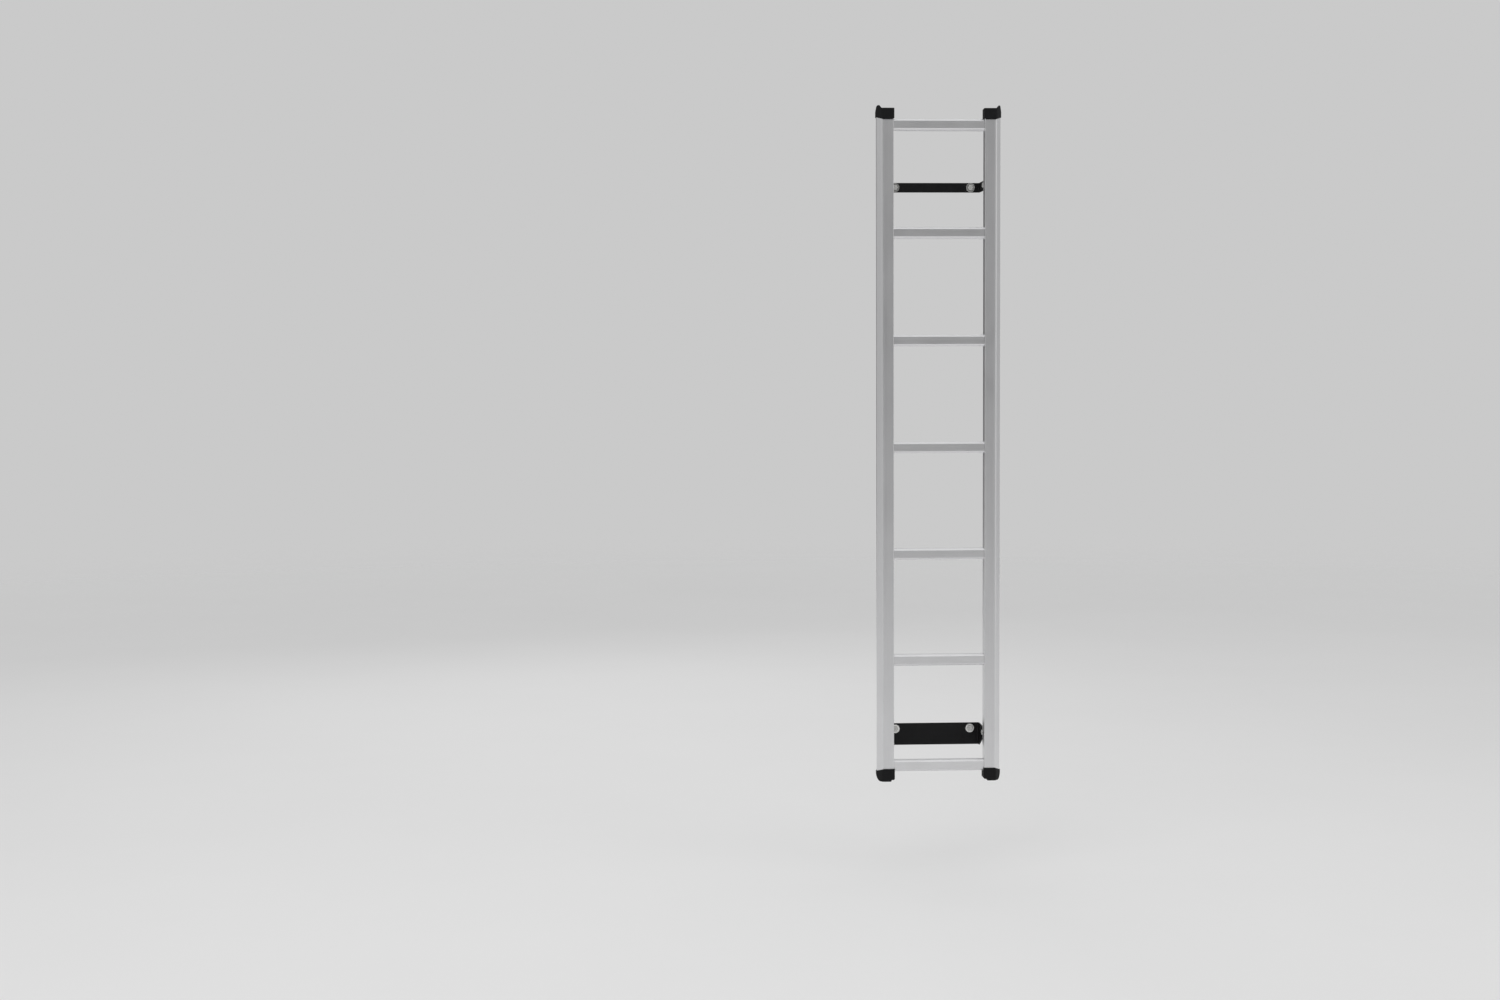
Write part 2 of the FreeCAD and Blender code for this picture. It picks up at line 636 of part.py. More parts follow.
# Fasteners, each drawn along its own Z
def cylinder(name, radius, height, start="0"):
    """A round bar along Z."""
    bar = doc.addObject("Part::Cylinder", name)
    bar.setExpression("Radius", radius)
    bar.setExpression("Height", height)
    move(bar, z=start)
    return bar


def hexagon(name, height, start="0"):
    """A six-sided head."""
    head = doc.addObject("Part::Prism", f"{name}_flats")
    head.Polygon = 6
    head.setExpression("Circumradius", "Size.head_flats / 2 / cos(30 deg)")
    head.setExpression("Height", height)
    move(head, z=start)
    return head


def fused(name, pieces):
    """One solid of several touching ones."""
    whole = doc.addObject("Part::MultiFuse", name)
    whole.Label = name
    whole.Shapes = pieces
    whole.Refine = True
    return whole


def drilled(name, blank, radius):
    """A piece with a round hole along Z through all of it."""
    drill = cylinder(f"{name}_drill", radius, "40", "0 - 20")
    piece = doc.addObject("Part::Cut", name)
    piece.Label = name
    piece.Base = blank
    piece.Tool = drill
    return piece


def turn(thing, yaw, pitch, roll):
    """Turn a fastener to its axis."""
    thing.Placement = FreeCAD.Placement(
        FreeCAD.Vector(0, 0, 0), FreeCAD.Rotation(yaw, pitch, roll))


def make_door_bolt(name, height):
    """A hexagon bolt with its captive washer, its thread standing out behind the web."""
    start = "0 - Size.washer_height"
    head = hexagon(name, "Size.head_height", f"{start} - Size.head_height")
    washer = cylinder(f"{name}_washer", "Size.washer_radius", "Size.washer_height", start)
    shank = cylinder(f"{name}_shank", "Size.bolt_radius", "Size.plate")
    thread = cylinder(f"{name}_thread", "Size.stud_radius", "Size.stud_reach", "Size.plate")
    bolt = fused(name, [head, washer, shank, thread])
    turn(bolt, 0, 0, -90)
    move(bolt, "Size.bolt_half", "0 - Size.plate", height)
    return bolt


WING_BOLT_X = f"Size.web_half + (Size.wing_bolt_reach - Size.plate) * tan({SPLAY})"


def make_wing_bolt(name, height):
    """A hexagon bolt from the inside of a wing through the arm."""
    head = hexagon(name, "Size.head_height", "0 - Size.head_height")
    length = "2 * Size.plate + Size.nut_height + Size.bolt_tail"
    bolt = fused(name, [head, cylinder(f"{name}_shank", "Size.bolt_radius", length)])
    turn(bolt, number("Size.wing_splay"), 90, 0)
    move(bolt, WING_BOLT_X, "0 - Size.wing_bolt_reach", height)
    return bolt


def make_wing_nut(name, height):
    """The locking nut outside an arm."""
    flats = hexagon(name, "Size.nut_height", "2 * Size.plate")
    nut = drilled(name, flats, "Size.bolt_radius + Size.thread_gap")
    turn(nut, number("Size.wing_splay"), 90, 0)
    move(nut, WING_BOLT_X, "0 - Size.wing_bolt_reach", height)
    return nut


def make_stile_bolt(name, height):
    """A hexagon bolt from behind an arm into the back of the stile."""
    head = hexagon(name, "Size.head_height", "0 - Size.head_height")
    length = "Size.plate + Size.stile_wall + Size.stile_bolt_bite"
    bolt = fused(name, [head, cylinder(f"{name}_shank", "Size.bolt_radius", length)])
    turn(bolt, 0, 0, 90)
    move(bolt, "Size.stile_bolt_half", "Size.plate - Size.stand_off", height)
    return bolt


# Assembly
def build_all():
    """Make every piece, the right-hand one of each pair first."""
    pieces = []
    right = make_stile("right_stile")
    pieces += [mirrored("left_stile", right), right]
    pieces += [make_rung(n) for n in range(1, RUNG_COUNT + 1)]
    top = make_top_cap("top_right_cap")
    pieces += [mirrored("top_left_cap", top), top]
    bottom = make_bottom_cap("bottom_left_cap")
    pieces += [bottom, mirrored("bottom_right_cap", bottom)]
    levels = [("upper", "Size.strap_half", "Size.strap_half", "Size.bracket_rise", "0"),
              ("lower", "Size.web_above", "Size.web_below", "0", LOWER_STRAP)]
    for level, above, below, height, strap in levels:
        pieces.append(make_door_bracket(f"{level}_door_bracket", above, below, height, strap))
        bolt = make_door_bolt(f"{level}_right_door_bolt", height)
        pieces.append(pair(f"{level}_door_bolts", bolt))
        makers = [("arm", make_arm), ("wing_bolt", make_wing_bolt), ("wing_nut", make_wing_nut),
                  ("stile_bolt", make_stile_bolt)]
        for kind, maker in makers:
            piece = maker(f"{level}_right_{kind}", f"{height} + {strap}")
            pieces.append(pair(f"{level}_{kind}s", piece))
    doc.recompute()
    return pieces


def check_and_write(pieces):
    """Stop on any failed object, then write each piece to its own file."""
    for thing in doc.Objects:
        if "Invalid" in thing.State or "Error" in thing.State:
            raise RuntimeError(f"{thing.Name} failed: {thing.State}")
    os.makedirs("parts", exist_ok=True)
    for piece in pieces:
        shape = piece.Shape
        wanted = 2 if piece.TypeId == "Part::Compound" else 1
        if shape.isNull() or not shape.isValid() or len(shape.Solids) != wanted:
            raise RuntimeError(f"{piece.Label} isn't {wanted} valid solid(s)")
        shape.exportStep(f"parts/{piece.Label}.step")
        print(f"{piece.Label}: {shape.Volume / 1000:.1f} cm3")


check_and_write(build_all())
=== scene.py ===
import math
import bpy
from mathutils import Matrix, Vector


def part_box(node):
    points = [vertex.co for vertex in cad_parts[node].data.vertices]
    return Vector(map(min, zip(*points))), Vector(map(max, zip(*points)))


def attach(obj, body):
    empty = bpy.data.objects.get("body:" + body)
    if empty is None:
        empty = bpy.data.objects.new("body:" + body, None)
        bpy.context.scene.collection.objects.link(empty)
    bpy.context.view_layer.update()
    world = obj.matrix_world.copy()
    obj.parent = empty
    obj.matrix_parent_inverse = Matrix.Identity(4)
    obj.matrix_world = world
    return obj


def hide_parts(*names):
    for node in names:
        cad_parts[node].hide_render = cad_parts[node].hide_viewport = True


bl_info = {
    "name": "Van Door Ladder",
    "version": (1, 0, 0),
    "blender": (4, 5, 0),
    "location": "3D View > Sidebar > Ladder",
    "description": "Finishes, fasteners and a plain studio for a ladder that is bolted to a van's rear door",
    "category": "Object",
}

import bmesh
import bpy
from mathutils import Matrix, Vector

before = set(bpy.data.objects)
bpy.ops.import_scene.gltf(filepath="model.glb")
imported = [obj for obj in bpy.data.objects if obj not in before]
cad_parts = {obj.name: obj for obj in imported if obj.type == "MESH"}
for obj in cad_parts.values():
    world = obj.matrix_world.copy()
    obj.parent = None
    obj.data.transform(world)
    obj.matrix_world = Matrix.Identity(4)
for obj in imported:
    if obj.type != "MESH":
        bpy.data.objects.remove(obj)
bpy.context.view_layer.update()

MM = 0.001
LEVELS = ("upper", "lower")
TURN = 2 * math.pi

# Material slots of a fastener
SMOOTH, FORGED, NYLON = 0, 1, 2

# Shapes of bolts and nuts, as shares of the width across flats or of the thread's pitch
TURNED_OFF = 0.475
COLLAR = 0.455
CHAMFER = math.radians(30)
THREAD_DEPTH = 0.54
THREAD_FLANK = 2.6
THREAD_CREST = 0.45
ROWS_PER_THREAD = 7

# Half the floor's side, and the distances over which it fades, in metres
FLOOR_HALF = 40
FLOOR_FADES = (5.0, 15.0)

# How far a direction leans up, aside or towards the door where each part of the mirrored room sets in
CEILING_EDGE = (0.16, 0.52)
SIDE_EDGE = (0.45, 0.95)
BEHIND_EDGE = (0.15, 0.8)

# Name, place, side of the square in metres, and watts
LAMPS = (
    ("key", (-2.6, -3.4, 3.6), 3.0, 44),
    ("fill", (3.4, -2.6, 2.2), 2.6, 14),
    ("top", (0.2, -0.6, 4.2), 2.4, 16),
    ("back", (-1.5, 4.0, 3.0), 2.8, 22),
)
LAMPS_AIM = Vector((0, -0.1, 0.8))


# Settings that a user would change
class LadderMetal(bpy.types.PropertyGroup):
    stile_colour: bpy.props.FloatVectorProperty(
        name="Stile colour", description="Anodised aluminium of the two stiles",
        subtype="COLOR", size=3, min=0, max=1, default=(0.83, 0.83, 0.84))
    rung_colour: bpy.props.FloatVectorProperty(
        name="Rung colour", description="Anodised aluminium of the rungs",
        subtype="COLOR", size=3, min=0, max=1, default=(0.85, 0.85, 0.86))
    line_depth: bpy.props.FloatProperty(
        name="Line depth", description="How deep the drawn lines of the extrusions are",
        unit="LENGTH", default=0.00002, min=0, max=0.001)
    zinc_colour: bpy.props.FloatVectorProperty(
        name="Zinc colour", description="Bright zinc plating of nuts, bolts and washers",
        subtype="COLOR", size=3, min=0, max=1, default=(0.80, 0.80, 0.78))


class LadderBlack(bpy.types.PropertyGroup):
    plastic_colour: bpy.props.FloatVectorProperty(
        name="Cap colour", description="Moulded plastic of the four end caps",
        subtype="COLOR", size=3, min=0, max=1, default=(0.0045, 0.0045, 0.005))
    coat_colour: bpy.props.FloatVectorProperty(
        name="Coat colour", description="Powder coat of the brackets and arms",
        subtype="COLOR", size=3, min=0, max=1, default=(0.004, 0.004, 0.0045))


class LadderFasteners(bpy.types.PropertyGroup):
    thread_radius: bpy.props.FloatProperty(
        name="Thread radius", description="Outer radius of the threads",
        unit="LENGTH", default=3.82 * MM, min=0.001, max=0.02)
    shank_radius: bpy.props.FloatProperty(
        name="Shank radius", description="Radius of the plain shanks",
        unit="LENGTH", default=4.0 * MM, min=0.001, max=0.02)
    thread_pitch: bpy.props.FloatProperty(
        name="Thread pitch", description="From one thread to the next",
        unit="LENGTH", default=1.25 * MM, min=0.0003, max=0.005)
    head_flats: bpy.props.FloatProperty(
        name="Across flats", description="Across the flats of bolt heads and nuts",
        unit="LENGTH", default=13.0 * MM, min=0.002, max=0.05)
    head_height: bpy.props.FloatProperty(
        name="Head height", description="Height of a bolt head",
        unit="LENGTH", default=5.3 * MM, min=0.001, max=0.03)
    washer_radius: bpy.props.FloatProperty(
        name="Washer radius", description="Radius of the washers on the door brackets",
        unit="LENGTH", default=12.5 * MM, min=0.002, max=0.05)
    washer_height: bpy.props.FloatProperty(
        name="Washer thickness", description="Thickness of the washers on the door brackets",
        unit="LENGTH", default=2.0 * MM, min=0.0005, max=0.01)
    nut_height: bpy.props.FloatProperty(
        name="Nut height", description="Height of a lock nut with its collar",
        unit="LENGTH", default=8.0 * MM, min=0.001, max=0.03)


class LadderStudio(bpy.types.PropertyGroup):
    floor_colour: bpy.props.FloatVectorProperty(
        name="Floor colour", description="Pale floor of the studio",
        subtype="COLOR", size=3, min=0, max=1, default=(0.80, 0.80, 0.80))
    backdrop: bpy.props.FloatProperty(
        name="Backdrop", description="Brightness of the pale backdrop, where 1 is white",
        default=0.59, min=0, max=1)
    daylight: bpy.props.FloatProperty(
        name="Daylight", description="Even light from all round", default=0.70, min=0, max=2)
    ceiling: bpy.props.FloatProperty(
        name="Ceiling", description="Brightness of the ceiling that the metal mirrors",
        default=0.85, min=0, max=2)
    wall: bpy.props.FloatProperty(
        name="Front wall", description="Brightness of the wall in front, as the metal mirrors it",
        default=0.15, min=0, max=2)
    left_wall: bpy.props.FloatProperty(
        name="Left wall", description="Brightness of the wall to the left, as the metal mirrors it",
        default=0.46, min=0, max=2)
    right_wall: bpy.props.FloatProperty(
        name="Right wall", description="Brightness of the wall to the right, as the metal mirrors it",
        default=0.68, min=0, max=2)
    shade: bpy.props.FloatProperty(
        name="Shade", description="Brightness behind the ladder, as the metal mirrors it",
        default=0.09, min=0, max=2)
    floor_level: bpy.props.FloatProperty(
        name="Floor level", description="Height of the floor, measured from the lower bracket",
        unit="LENGTH", default=-0.39, min=-5, max=0)
    lens: bpy.props.FloatProperty(
        name="Lens", description="Focal length of the camera, in millimetres",
        default=44.4, min=10, max=300)
    camera_place: bpy.props.FloatVectorProperty(
        name="Camera place", description="Where the camera stands",
        subtype="TRANSLATION", unit="LENGTH", size=3, default=(-0.761, -5.302, 0.9145))
    camera_turn: bpy.props.FloatVectorProperty(
        name="Camera turn", description="Yaw, pitch and roll, from looking straight at the door",
        subtype="EULER", size=3, default=tuple(math.radians(angle) for angle in (-2.53, -2.68, 0.25)))


class LadderSettings(bpy.types.PropertyGroup):
    metal: bpy.props.PointerProperty(
        type=LadderMetal, name="Metal", description="Bare and plated metal")
    black: bpy.props.PointerProperty(
        type=LadderBlack, name="Black", description="Plastic and powder coat")
    fasteners: bpy.props.PointerProperty(
        type=LadderFasteners, name="Fasteners", description="Sizes of nuts, bolts and washers")
    studio: bpy.props.PointerProperty(
        type=LadderStudio, name="Studio", description="Floor, light and camera")


# Node building
class Net:
    """A short way to place and join the nodes of one tree."""

    def __init__(self, tree):
        self.tree = tree

    def node(self, kind, inputs=None, **values):
        node = self.tree.nodes.new(f"ShaderNode{kind}")
        for name, value in values.items():
            setattr(node, name, value)
        for name, value in (inputs or {}).items():
            self.feed(node.inputs[name], value)
        return node

    def feed(self, socket, value):
        if isinstance(value, bpy.types.NodeSocket):
            self.tree.links.new(value, socket)
        else:
            socket.default_value = value

    def math(self, operation, *values, clamp=False):
        node = self.node("Math", operation=operation, use_clamp=clamp)
        for socket, value in zip(node.inputs, values):
            self.feed(socket, value)
        return node.outputs[0]

    def vector(self, operation, *values):
        node = self.node("VectorMath", operation=operation)
        for socket, value in zip(node.inputs, values):
            self.feed(socket, value)
        return node

    def blend(self, factor, first, second):
        node = self.node("Mix", data_type="RGBA")
        self.feed(node.inputs[0], factor)
        self.feed(node.inputs[6], first)
        self.feed(node.inputs[7], second)
        return node.outputs[2]

    def span(self, value, low, high, to_low=0.0, to_high=1.0, **values):
        node = self.node("MapRange", {"Value": value, "From Min": low, "From Max": high,
                                      "To Min": to_low, "To Max": to_high}, **values)
        return node.outputs[0]

    def noise(self, vector, scale, detail=2.0, roughness=0.5):
        node = self.node("TexNoise", {"Vector": vector, "Scale": scale, "Detail": detail,
                                      "Roughness": roughness})
        return node.outputs["Fac"]

    def bump(self, height, distance, normal):
        node = self.node("Bump", {"Height": height, "Distance": distance, "Normal": normal})
        return node.outputs[0]

    def scaled(self, vector, scale):
        return self.vector("MULTIPLY", vector, scale).outputs[0]


def new_group(name, inputs, outputs):
    """An empty group with named sockets, its net, and its ends."""
    group = bpy.data.node_groups.new(name, "ShaderNodeTree")
    for label, kind, value in inputs:
        socket = group.interface.new_socket(label, in_out="INPUT", socket_type=f"NodeSocket{kind}")
        if value is not None:
            socket.default_value = value
    for label, kind in outputs:
        group.interface.new_socket(label, in_out="OUTPUT", socket_type=f"NodeSocket{kind}")
    net = Net(group)
    return group, net, group.nodes.new("NodeGroupInput").outputs, group.nodes.new("NodeGroupOutput").inputs


def drawn_lines_group():
    """Fine lines along one direction, as the die leaves them on an extrusion."""
    group, net, given, out = new_group(
        "Drawn Lines", [("Vector", "Vector", None), ("Depth", "Float", 0.00002), ("Round", "Float", 0.0004)],
        [("Lines", "Float"), ("Broad", "Float"), ("Normal", "Vector")])
    soft = net.node("Bevel", {"Radius": given["Round"]}, samples=4).outputs[0]
    fine = net.noise(given["Vector"], 3200, 1.0)
    middle = net.noise(given["Vector"], 900, 2.0, 0.6)
    broad = net.noise(given["Vector"], 120, 2.0)
    lines = net.math("ADD", net.math("MULTIPLY", fine, 0.45), net.math("MULTIPLY", middle, 0.55))
    net.feed(out["Lines"], lines)
    net.feed(out["Broad"], broad)
    net.feed(out["Normal"], net.bump(lines, given["Depth"], soft))
    return group


def edge_wear_group():
    """A broken mask along the sharp edges of a piece."""
    group, net, given, out = new_group(
        "Edge Wear", [("Vector", "Vector", None), ("Width", "Float", 0.001), ("Amount", "Float", 0.5)],
        [("Mask", "Float")])
    bevel = net.node("Bevel", {"Radius": given["Width"]}, samples=6)
    normal = net.node("NewGeometry").outputs["Normal"]
    turn = net.vector("DOT_PRODUCT", bevel.outputs[0], normal).outputs["Value"]
    edge = net.span(turn, 0.995, 0.88)
    breaks = net.span(net.noise(given["Vector"], 180, 4.0, 0.65), 0.38, 0.62)
    mask = net.math("MULTIPLY", net.math("MULTIPLY", edge, breaks), given["Amount"], clamp=True)
    net.feed(out["Mask"], mask)
    return group


def smudges_group():
    """Soft blotches and thin dust, for handling marks and uneven finish."""
    group, net, given, out = new_group(
        "Smudges", [("Vector", "Vector", None), ("Size", "Float", 20.0)],
        [("Soft", "Float"), ("Specks", "Float")])
    warp = net.scaled(given["Vector"], (1.0, 1.0, 0.6))
    soft = net.noise(warp, given["Size"], 5.0, 0.6)
    net.feed(out["Soft"], net.span(soft, 0.35, 0.68))
    specks = net.noise(given["Vector"], 1400, 1.0)
    net.feed(out["Specks"], net.span(specks, 0.68, 0.76))
    return group


def scratches_group():
    """Thin scratches in two directions."""
    group, net, given, out = new_group(
        "Scratches", [("Vector", "Vector", None), ("Density", "Float", 0.5)], [("Mask", "Float")])
    masks = []
    for turn, scale in (((0.5, 0.35, 0.3), 210), ((-0.4, 0.6, -0.5), 320)):
        turned = net.node("VectorRotate", {"Vector": given["Vector"], "Rotation": turn},
                          rotation_type="EULER_XYZ").outputs[0]
        streaks = net.noise(net.scaled(turned, (1.0, 0.04, 1.0)), scale, 0.0)
        thin = net.span(net.math("ABSOLUTE", net.math("SUBTRACT", streaks, 0.5)), 0.004, 0.0)
        patches = net.span(net.noise(given["Vector"], 14, 2.0), 0.5, 0.62)
        masks.append(net.math("MULTIPLY", thin, patches))
    both = net.math("MAXIMUM", masks[0], masks[1])
    net.feed(out["Mask"], net.math("MULTIPLY", both, given["Density"], clamp=True))
    return group


def grain_group():
    """The fine texture of moulded plastic or powder coat."""
    group, net, given, out = new_group(
        "Fine Grain", [("Vector", "Vector", None), ("Scale", "Float", 900.0), ("Depth", "Float", 0.00003),
                       ("Round", "Float", 0.0005)],
        [("Height", "Float"), ("Normal", "Vector")])
    soft = net.node("Bevel", {"Radius": given["Round"]}, samples=4).outputs[0]
    coarse = net.noise(given["Vector"], given["Scale"], 3.0, 0.55)
    pits = net.node("TexVoronoi", {"Vector": given["Vector"],
                                   "Scale": net.math("MULTIPLY", given["Scale"], 1.7)}).outputs["Distance"]
    height = net.math("ADD", coarse, net.math("MULTIPLY", pits, 0.35))
    net.feed(out["Height"], height)
    net.feed(out["Normal"], net.bump(height, given["Depth"], soft))
    return group


def crevice_dust_and_shade_group():
    """A mask of the crevices where pieces meet, from ambient occlusion and made uneven by noise: painted
    shade on the metals, pale dust on the black caps.
    """
    group, net, given, out = new_group(
        "Crevice Dust And Shade", [("Vector", "Vector", None), ("Reach", "Float", 0.003), ("Amount", "Float", 0.6)],
        [("Mask", "Float")])
    open_sky = net.node("AmbientOcclusion", {"Distance": given["Reach"]}, samples=6).outputs["AO"]
    closed = net.span(open_sky, 0.85, 0.25)
    uneven = net.span(net.noise(given["Vector"], 340, 4.0, 0.6), 0.25, 0.6, 0.45, 1.0)
    dust_and_shade = net.math("MULTIPLY", closed, uneven)
    net.feed(out["Mask"], net.math("MULTIPLY", dust_and_shade, given["Amount"], clamp=True))
    return group


GROUP_MAKERS = {
    "Drawn Lines": drawn_lines_group,
    "Edge Wear": edge_wear_group,
    "Smudges": smudges_group,
    "Scratches": scratches_group,
    "Fine Grain": grain_group,
    "Crevice Dust And Shade": crevice_dust_and_shade_group,
}


def placed(net, name, **inputs):
    """Place a shared group, building it the first time."""
    group = bpy.data.node_groups.get(name) or GROUP_MAKERS[name]()
    node = net.tree.nodes.new("ShaderNodeGroup")
    node.node_tree = group
    for label, value in inputs.items():
        net.feed(node.inputs[label], value)
    return node.outputs


def new_material(name, **constants):
    """A material with a bare shader, and the place on the object that its textures follow."""
    material = bpy.data.materials.new(name)
    material.use_nodes = True
    net = Net(material.node_tree)
    shader = material.node_tree.nodes["Principled BSDF"]
    for label, value in constants.items():
        shader.inputs[label.replace("_", " ")].default_value = value
    where = net.node("TexCoord").outputs["Object"]
    return material, net, shader.inputs, where


def rgba(colour, gain=1.0):
    return tuple(c * gain for c in colour) + (1.0,)


# Finishes
def lip_tilt(net, where, middle, pitch, inner, lean):
    """Leans the lip above each rung's front upwards and the lip below it downwards, as a rounded bead."""
    height = net.node("SeparateXYZ", {0: where}).outputs[2]
    along = net.math("FLOORED_MODULO", net.math("SUBTRACT", height, middle - pitch / 2), pitch)
    offset = net.math("SUBTRACT", along, pitch / 2)
    edge = 0.4 * MM
    upper = net.span(offset, inner - edge, inner + edge)
    lower = net.span(offset, -inner + edge, -inner - edge)
    lift = net.math("MULTIPLY", net.math("SUBTRACT", upper, lower), lean)
    return net.node("CombineXYZ", {"Z": lift}).outputs[0]


def aluminium(name, colour, depth, along, lips=None):
    """Satin anodised extrusion with lines along one axis, and with the lips of a rung if they are given."""
    material, net, shader, where = new_material(name, Metallic=1.0)
    stretch = tuple(0.006 if axis == along else 1.0 for axis in "xyz")
    lines = placed(net, "Drawn Lines", Vector=net.scaled(where, stretch), Depth=depth)
    marks = placed(net, "Smudges", Vector=where, Size=16.0)
    wear = placed(net, "Edge Wear", Vector=where, Width=0.0012, Amount=0.6)
    scratched = placed(net, "Scratches", Vector=where, Density=0.5)
    tone = net.blend(net.span(lines["Lines"], 0.3, 0.7), rgba(colour, 0.96), rgba(colour, 1.03))
    tone = net.blend(net.math("MULTIPLY", marks["Soft"], 0.3), tone, rgba(colour, 0.91))
    tone = net.blend(net.math("MULTIPLY", wear["Mask"], 0.5), tone, rgba((0.78, 0.78, 0.78)))
    tone = net.blend(scratched["Mask"], tone, rgba((0.74, 0.74, 0.74)))
    # Painted shade: the crevices where pieces meet are darkened towards a dark grey.
    dust_and_shade = placed(net, "Crevice Dust And Shade", Vector=where, Reach=0.005, Amount=0.45)
    net.feed(shader["Base Color"], net.blend(dust_and_shade["Mask"], tone, rgba((0.22, 0.215, 0.21))))
    rough = net.math("ADD", net.span(lines["Broad"], 0.3, 0.7, 0.345, 0.375),
                     net.math("MULTIPLY", marks["Soft"], 0.05))
    rough = net.math("SUBTRACT", rough, net.math("MULTIPLY", wear["Mask"], 0.08))
    net.feed(shader["Roughness"], rough)
    normal = lines["Normal"]
    if lips:
        tilted = net.vector("ADD", normal, lip_tilt(net, where, *lips)).outputs[0]
        normal = net.vector("NORMALIZE", tilted).outputs[0]
    net.feed(shader["Normal"], normal)
    return material


def plastic(name, colour):
    """Black moulded plastic with a fine spark-eroded grain."""
    material, net, shader, where = new_material(name, Specular_IOR_Level=0.2)
    grain = placed(net, "Fine Grain", Vector=where, Scale=1500.0, Depth=0.00004)
    marks = placed(net, "Smudges", Vector=where, Size=60.0)
    wear = placed(net, "Edge Wear", Vector=where, Width=0.0015, Amount=0.7)
    tone = net.blend(marks["Soft"], rgba(colour), rgba(colour, 1.5))
    tone = net.blend(net.math("MULTIPLY", marks["Specks"], 0.3), tone, rgba((0.05, 0.05, 0.05)))
    # Dust: the crevices of the caps go a little lighter, towards a dusty grey.
    dust_and_shade = placed(net, "Crevice Dust And Shade", Vector=where, Reach=0.004, Amount=0.5)
    tone = net.blend(dust_and_shade["Mask"], tone, rgba((0.03, 0.028, 0.025)))
    worn = net.math("MULTIPLY", wear["Mask"], 0.5)
    net.feed(shader["Base Color"], net.blend(worn, tone, rgba((0.045, 0.045, 0.046))))
    net.feed(shader["Roughness"], net.math("ADD", net.span(grain["Height"], 0.3, 0.9, 0.52, 0.62),
                                           net.math("MULTIPLY", marks["Soft"], 0.08)))
    net.feed(shader["Normal"], grain["Normal"])
    return material


def powder_coat(name, colour):
    """Black powder coat with a slight orange peel."""
    material, net, shader, where = new_material(name, Specular_IOR_Level=0.22)
    grain = placed(net, "Fine Grain", Vector=where, Scale=650.0, Depth=0.00005)
    marks = placed(net, "Smudges", Vector=where, Size=28.0)
    wear = placed(net, "Edge Wear", Vector=where, Width=0.0009, Amount=0.6)
    scratched = placed(net, "Scratches", Vector=where, Density=0.35)
    tone = net.blend(marks["Soft"], rgba(colour), rgba(colour, 1.6))
    tone = net.blend(net.math("MULTIPLY", marks["Specks"], 0.4), tone, rgba((0.06, 0.06, 0.06)))
    tone = net.blend(scratched["Mask"], tone, rgba((0.05, 0.05, 0.05)))
    worn = net.math("MULTIPLY", wear["Mask"], 0.7)
    net.feed(shader["Base Color"], net.blend(worn, tone, rgba((0.10, 0.10, 0.10))))
    net.feed(shader["Roughness"], net.math("ADD", net.span(grain["Height"], 0.3, 0.9, 0.40, 0.50),
                                           net.math("MULTIPLY", marks["Soft"], 0.08)))
    net.feed(shader["Normal"], grain["Normal"])
    return material


def zinc(name, colour, polish):
    """Zinc plate, a little cloudy, on smooth sheet or on a rougher forging."""
    material, net, shader, where = new_material(name, Metallic=0.45 + 0.55 * polish)
    marks = placed(net, "Smudges", Vector=where, Size=260.0)
    grain = placed(net, "Fine Grain", Vector=where, Scale=2600.0, Depth=0.00001)
    wear = placed(net, "Edge Wear", Vector=where, Width=0.0006, Amount=0.8)
    fresh = 0.80 + 0.2 * polish
    tone = net.blend(marks["Soft"], rgba(colour, fresh), rgba(colour, fresh * 0.84))
    tone = net.blend(wear["Mask"], tone, rgba((0.85, 0.85, 0.84)))
    # Painted shade: the crevices round heads, washers and nuts are darkened towards near black.
    dust_and_shade = placed(net, "Crevice Dust And Shade", Vector=where, Reach=0.004, Amount=0.95)
    net.feed(shader["Base Color"], net.blend(dust_and_shade["Mask"], tone, rgba((0.10, 0.097, 0.09))))
    dull = 0.48 - 0.3 * polish
    net.feed(shader["Roughness"], net.span(marks["Soft"], 0.0, 1.0, dull, dull + 0.1))
    net.feed(shader["Normal"], grain["Normal"])
    return material


def nylon(name):
    """The pale ring that grips the thread of a lock nut."""
    material, net, shader, where = new_material(name, Specular_IOR_Level=0.4, Subsurface_Weight=0.1)
    marks = placed(net, "Smudges", Vector=where, Size=400.0)
    tone = net.blend(marks["Soft"], rgba((0.55, 0.56, 0.54)), rgba((0.44, 0.46, 0.45)))
    net.feed(shader["Base Color"], tone)
    net.feed(shader["Roughness"], net.span(marks["Soft"], 0.0, 1.0, 0.38, 0.5))
    return material


def floor_finish(name, colour):
    """Pale painted floor with the faintest unevenness, which fades into the backdrop."""
    material, net, shader, where = new_material(name, Specular_IOR_Level=0.2)
    marks = placed(net, "Smudges", Vector=where, Size=0.8)
    net.feed(shader["Base Color"], net.blend(marks["Soft"], rgba(colour), rgba(colour, 0.985)))
    net.feed(shader["Roughness"], net.span(marks["Soft"], 0.0, 1.0, 0.75, 0.82))
    away = net.vector("LENGTH", where).outputs["Value"]
    net.feed(shader["Alpha"], net.span(away, *FLOOR_FADES, 1.0, 0.0, interpolation_type="SMOOTHERSTEP"))
    return material


def finish_once(name, maker, *values):
    """A material by name, made the first time it is asked for."""
    return bpy.data.materials.get(name) or maker(name, *values)


def dress(nodes, material):
    """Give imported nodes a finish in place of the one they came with."""
    for name in nodes:
        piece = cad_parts[name]
        if not piece.material_slots:
            raise RuntimeError(f"{name} has no place for a finish")
        for place in piece.material_slots:
            place.material = material


# Turned and threaded shapes, drawn along their own Z
def ring(bm, radius, z, sides):
    """Points on a circle."""
    angles = [TURN * k / sides for k in range(sides)]
    return [bm.verts.new((radius * math.cos(angle), radius * math.sin(angle), z)) for angle in angles]


